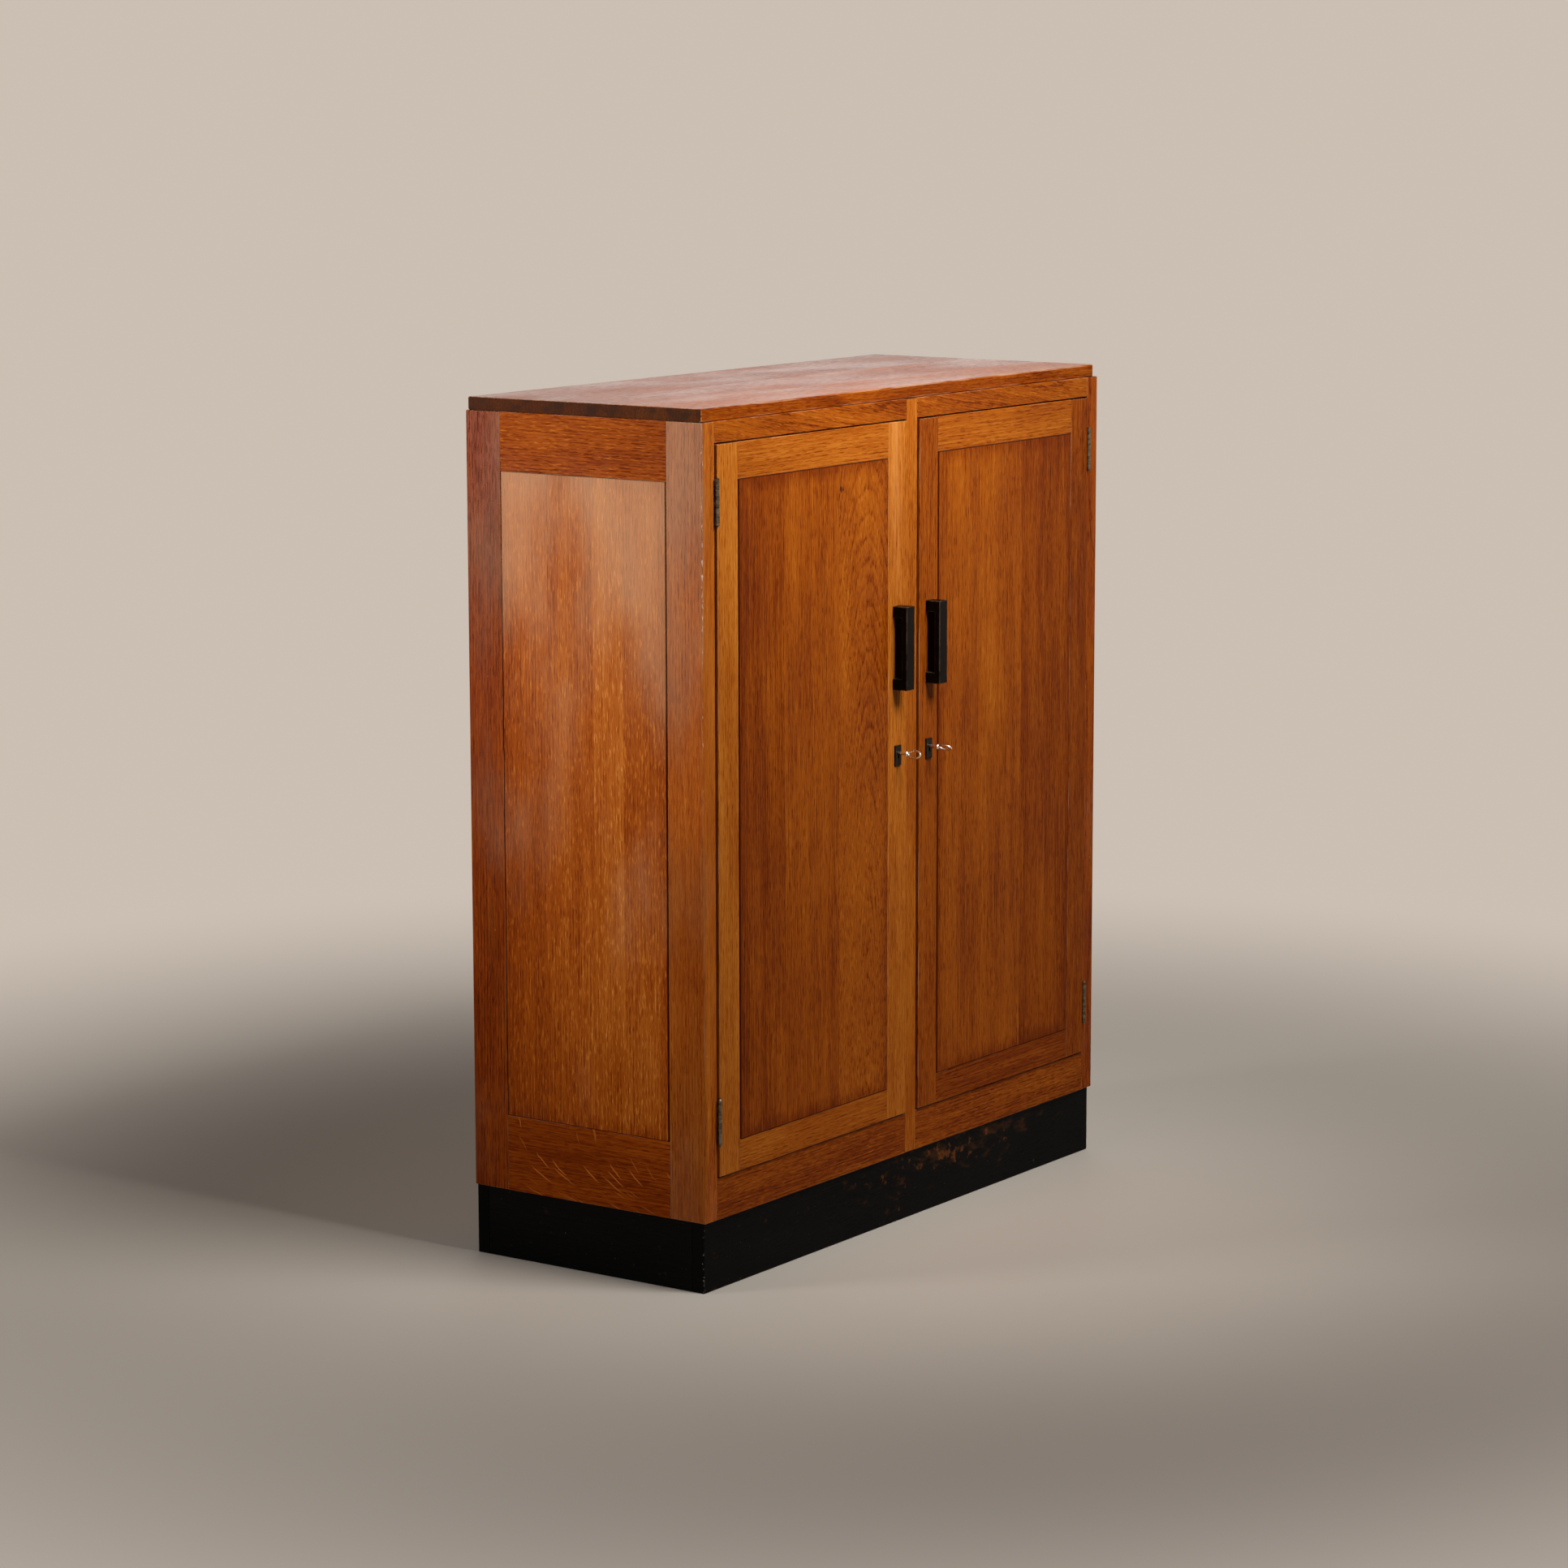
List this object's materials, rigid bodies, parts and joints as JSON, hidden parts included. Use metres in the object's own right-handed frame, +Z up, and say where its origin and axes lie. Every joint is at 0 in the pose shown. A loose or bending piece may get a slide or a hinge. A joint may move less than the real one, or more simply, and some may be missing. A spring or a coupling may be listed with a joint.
{
  "type": "archive cabinet",
  "caption": "Low oak archive cabinet: framed panel doors on butt hinges with bar handles, locks and keys, shelf bays inside, a thin top board and a black plinth.",
  "frame": {"origin": "on the floor under the middle of the whole cabinet's box, keys included", "axes": "+X to the right along the front, +Y from the doors to the back, +Z up"},
  "size_m": [1.0016, 0.438, 1.195],
  "materials": {
    "oak": "polished honey-brown oak",
    "inner_wood": "plain oiled wood",
    "ebonised_plinth": "black stained, worn satin",
    "ebonised_handle": "black lacquered, satin gloss",
    "black_metal": "black lacquered metal",
    "nickel": "worn nickel plate",
    "hinge_steel": "dull steel",
    "lock_steel": "dull steel",
    "screw_brass": "dull brass"
  },
  "bodies": {
    "carcass": {"plinth_front_board": "ebonised_plinth", "plinth_back_board": "ebonised_plinth", "plinth_left_board": "ebonised_plinth", "plinth_right_board": "ebonised_plinth", "plinth_corner_blocks": "inner_wood", "front_mullion": "oak", "strike_plates": "lock_steel", "top_board": "oak", "floor_board": "inner_wood", "back_top_rail": "inner_wood", "partition": "inner_wood", "shelf_battens": "inner_wood", "left_side_front_stile": "oak", "left_side_rear_stile": "oak", "left_side_top_rail": "oak", "left_side_bottom_rail": "oak", "left_side_panel": "oak", "front_left_top_rail": "oak", "front_left_bottom_rail": "oak", "left_back_panel": "inner_wood", "left_shelf_1": "inner_wood", "left_shelf_2": "inner_wood", "left_hinge_frame_leaves": "hinge_steel", "left_hinge_pins": "hinge_steel", "right_side_front_stile": "oak", "right_side_rear_stile": "oak", "right_side_top_rail": "oak", "right_side_bottom_rail": "oak", "right_side_panel": "oak", "front_right_top_rail": "oak", "front_right_bottom_rail": "oak", "right_back_panel": "inner_wood", "right_shelf_1": "inner_wood", "right_shelf_2": "inner_wood", "right_hinge_frame_leaves": "hinge_steel", "right_hinge_pins": "hinge_steel"},
    "left_door": {"left_door_hinge_stile": "oak", "left_door_lock_stile": "oak", "left_door_top_rail": "oak", "left_door_bottom_rail": "oak", "left_door_panel": "oak", "left_hinge_door_leaves": "hinge_steel", "left_handle": "ebonised_handle", "left_handle_screws": "screw_brass", "left_escutcheon": "black_metal", "left_lock_case": "lock_steel"},
    "left_key": {"left_key": "nickel"},
    "left_bolt": {"left_lock_bolt": "lock_steel"},
    "right_door": {"right_door_hinge_stile": "oak", "right_door_lock_stile": "oak", "right_door_top_rail": "oak", "right_door_bottom_rail": "oak", "right_door_panel": "oak", "right_hinge_door_leaves": "hinge_steel", "right_handle": "ebonised_handle", "right_handle_screws": "screw_brass", "right_escutcheon": "black_metal", "right_lock_case": "lock_steel"},
    "right_key": {"right_key": "nickel"},
    "right_bolt": {"right_lock_bolt": "lock_steel"}
  },
  "joints": [
    {"name": "left_door_swing", "type": "hinge", "parent": "carcass", "child": "left_door", "pos_m": [-0.4709, -0.18, 0.6525], "axis": [0, 0, -1], "range_deg": [0, 175]},
    {"name": "left_key_turn", "type": "hinge", "parent": "left_door", "child": "left_key", "pos_m": [-0.0397, -0.2, 0.6816], "axis": [0, -1, 0], "range_deg": [-42, 87]},
    {"name": "left_bolt_slide", "type": "slide", "parent": "left_door", "child": "left_bolt", "axis": [1, 0, 0], "range_m": [-0.00403, 0.00857]},
    {"name": "right_door_swing", "type": "hinge", "parent": "carcass", "child": "right_door", "pos_m": [0.4709, -0.18, 0.6525], "axis": [0, 0, 1], "range_deg": [0, 175]},
    {"name": "right_key_turn", "type": "hinge", "parent": "right_door", "child": "right_key", "pos_m": [0.0397, -0.2, 0.6816], "axis": [0, 1, 0], "range_deg": [-14, 115]},
    {"name": "right_bolt_slide", "type": "slide", "parent": "right_door", "child": "right_bolt", "axis": [-1, 0, 0], "range_m": [-0.00121, 0.01139]}
  ],
  "couplings": [
    {"joint": "left_key_turn", "follows": "left_bolt_slide", "rad_per_m": 173.15},
    {"joint": "right_key_turn", "follows": "right_bolt_slide", "rad_per_m": 173.15}
  ]
}
